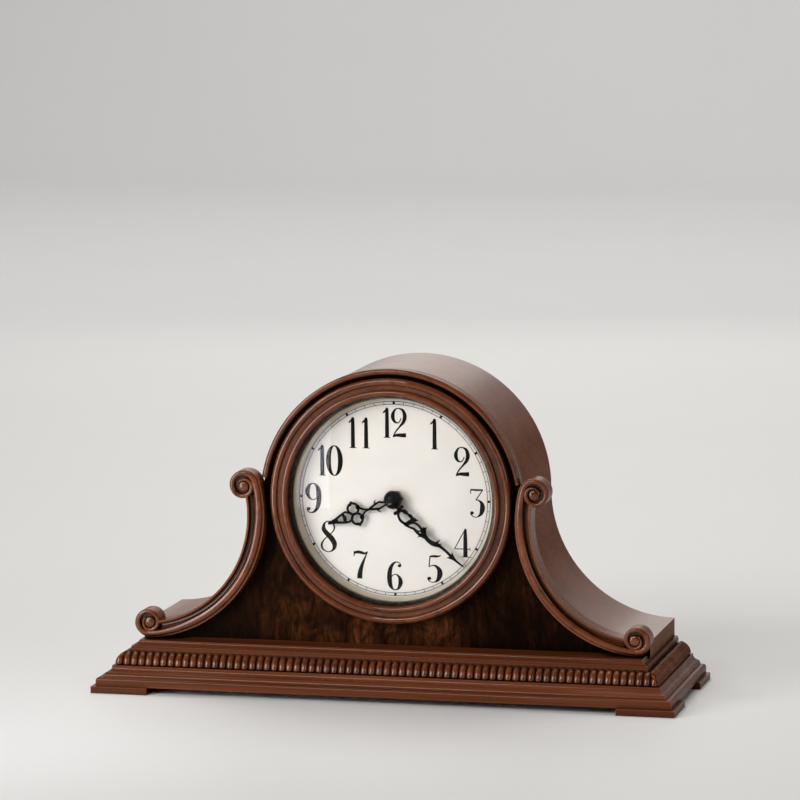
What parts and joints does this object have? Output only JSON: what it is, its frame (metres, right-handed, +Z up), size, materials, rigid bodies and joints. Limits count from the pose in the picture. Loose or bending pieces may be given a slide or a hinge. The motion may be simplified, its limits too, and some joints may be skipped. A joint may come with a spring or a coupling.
{
  "type": "mantel clock",
  "caption": "Hump-back tambour mantel clock in stained wood: carved side scrolls, gadrooned base, turned bezel with convex glass, Arabic dial, battery chime movement and rear access door.",
  "frame": {"origin": "on the table, under the middle of the base", "axes": "+Z up, +X to the right seen from the front, the dial faces -Y"},
  "size_m": [0.47, 0.156, 0.2586],
  "materials": {
    "cherry_wood": "satin stained cherry",
    "burl_veneer": "dark figured veneer, satin",
    "backing_wood": "plain stained board",
    "lens_glass": "clear convex glass",
    "dial_paint": "matt ivory",
    "flange_metal": "satin champagne",
    "hand_black": "gloss black",
    "brass": "polished",
    "steel": "bright zinc",
    "black_plastic": "moulded",
    "white_plastic": "moulded acetal",
    "magnet": "sintered",
    "copper_wire": "enamelled wire",
    "circuit_green": "solder mask",
    "cell_jacket": "printed jacket, bare"
  },
  "bodies": {
    "case": {"foot_front_left": "cherry_wood", "foot_front_right": "cherry_wood", "foot_rear_left": "cherry_wood", "foot_rear_right": "cherry_wood", "plinth": "cherry_wood", "riser_board": "cherry_wood", "cap_board": "cherry_wood", "gadroon_front": "cherry_wood", "gadroon_left": "cherry_wood", "gadroon_right": "cherry_wood", "front_rail": "cherry_wood", "case_shell": "cherry_wood", "arch_moulding": "cherry_wood", "scroll_left": "cherry_wood", "scroll_right": "cherry_wood", "bezel_ring": "cherry_wood", "front_panel": "burl_veneer", "back_panel": "backing_wood", "glass_lens": "lens_glass", "dial_plate": "dial_paint", "dial_flange": "flange_metal", "mounting_nut": "brass", "hinge_fixed_leaves": "brass", "hinge_pins": "brass", "hinge_fixed_screws": "brass", "dial_screws": "steel", "back_screws": "steel", "base_screws": "steel", "cover_screws": "steel", "cell_contacts": "steel", "stator": "steel", "movement_housing": "black_plastic", "movement_cover": "black_plastic", "door_catch": "black_plastic", "speaker_frame": "black_plastic", "train_plate": "white_plastic", "speaker_magnet": "magnet", "coil": "copper_wire", "circuit_board": "circuit_green", "cell_left": "cell_jacket", "cell_right": "cell_jacket"},
    "door": {"access_door": "backing_wood", "hinge_moving_leaves": "brass", "hinge_moving_screws": "brass", "door_knob": "brass", "strike_plate": "steel"},
    "minute": {"minute_arbor": "steel", "minute_hand": "hand_black", "hand_cap": "hand_black", "set_knob": "black_plastic"},
    "hour": {"hour_wheel": "white_plastic", "hour_hand": "hand_black"},
    "minute_wheel": {"minute_wheel": "white_plastic"},
    "centre_wheel": {"centre_wheel": "white_plastic"},
    "third_wheel": {"third_wheel": "white_plastic"},
    "fourth_wheel": {"fourth_wheel": "white_plastic"},
    "intermediate_wheel": {"intermediate_wheel": "white_plastic"},
    "rotor": {"rotor": "magnet"},
    "chime_switch": {"chime_switch": "black_plastic"},
    "volume_switch": {"volume_switch": "black_plastic"}
  },
  "joints": [
    {"name": "door_hinge", "type": "hinge", "parent": "case", "child": "door", "pos_m": [0.0656, 0.0745, 0.1398], "axis": [0, 0, -1], "range_deg": [0, 105]},
    {"name": "minute_turn", "type": "hinge", "parent": "case", "child": "minute", "pos_m": [0, 0, 0.1538], "axis": [0, 1, 0], "continuous": true},
    {"name": "hour_turn", "type": "hinge", "parent": "case", "child": "hour", "pos_m": [0, 0, 0.1538], "axis": [0, 1, 0], "continuous": true},
    {"name": "minute_wheel_turn", "type": "hinge", "parent": "case", "child": "minute_wheel", "pos_m": [0, 0, 0.1418], "axis": [0, 1, 0], "continuous": true},
    {"name": "rotor_turn", "type": "hinge", "parent": "case", "child": "rotor", "pos_m": [-0.01311, 0, 0.16053], "axis": [0, 1, 0], "continuous": true},
    {"name": "intermediate_turn", "type": "hinge", "parent": "case", "child": "intermediate_wheel", "pos_m": [-0.00891, 0, 0.1678], "axis": [0, 1, 0], "continuous": true},
    {"name": "fourth_turn", "type": "hinge", "parent": "case", "child": "fourth_wheel", "pos_m": [0.00069, 0, 0.1678], "axis": [0, 1, 0], "continuous": true},
    {"name": "third_turn", "type": "hinge", "parent": "case", "child": "third_wheel", "pos_m": [0.01247, 0, 0.161], "axis": [0, 1, 0], "continuous": true},
    {"name": "centre_turn", "type": "hinge", "parent": "case", "child": "centre_wheel", "pos_m": [0, 0, 0.1538], "axis": [0, 1, 0], "continuous": true},
    {"name": "chime_slide", "type": "slide", "parent": "case", "child": "chime_switch", "axis": [1, 0, 0], "range_m": [-0.003, 0.003]},
    {"name": "volume_slide", "type": "slide", "parent": "case", "child": "volume_switch", "axis": [1, 0, 0], "range_m": [-0.003, 0.003]}
  ],
  "couplings": [
    {"joint": "hour_turn", "follows": "minute_turn", "ratio": 0.083333},
    {"joint": "minute_wheel_turn", "follows": "minute_turn", "ratio": -0.33333},
    {"joint": "intermediate_turn", "follows": "rotor_turn", "ratio": -0.16667},
    {"joint": "fourth_turn", "follows": "rotor_turn", "ratio": 0.033333},
    {"joint": "third_turn", "follows": "rotor_turn", "ratio": -0.0044444},
    {"joint": "centre_turn", "follows": "rotor_turn", "ratio": 0.00055556}
  ]
}
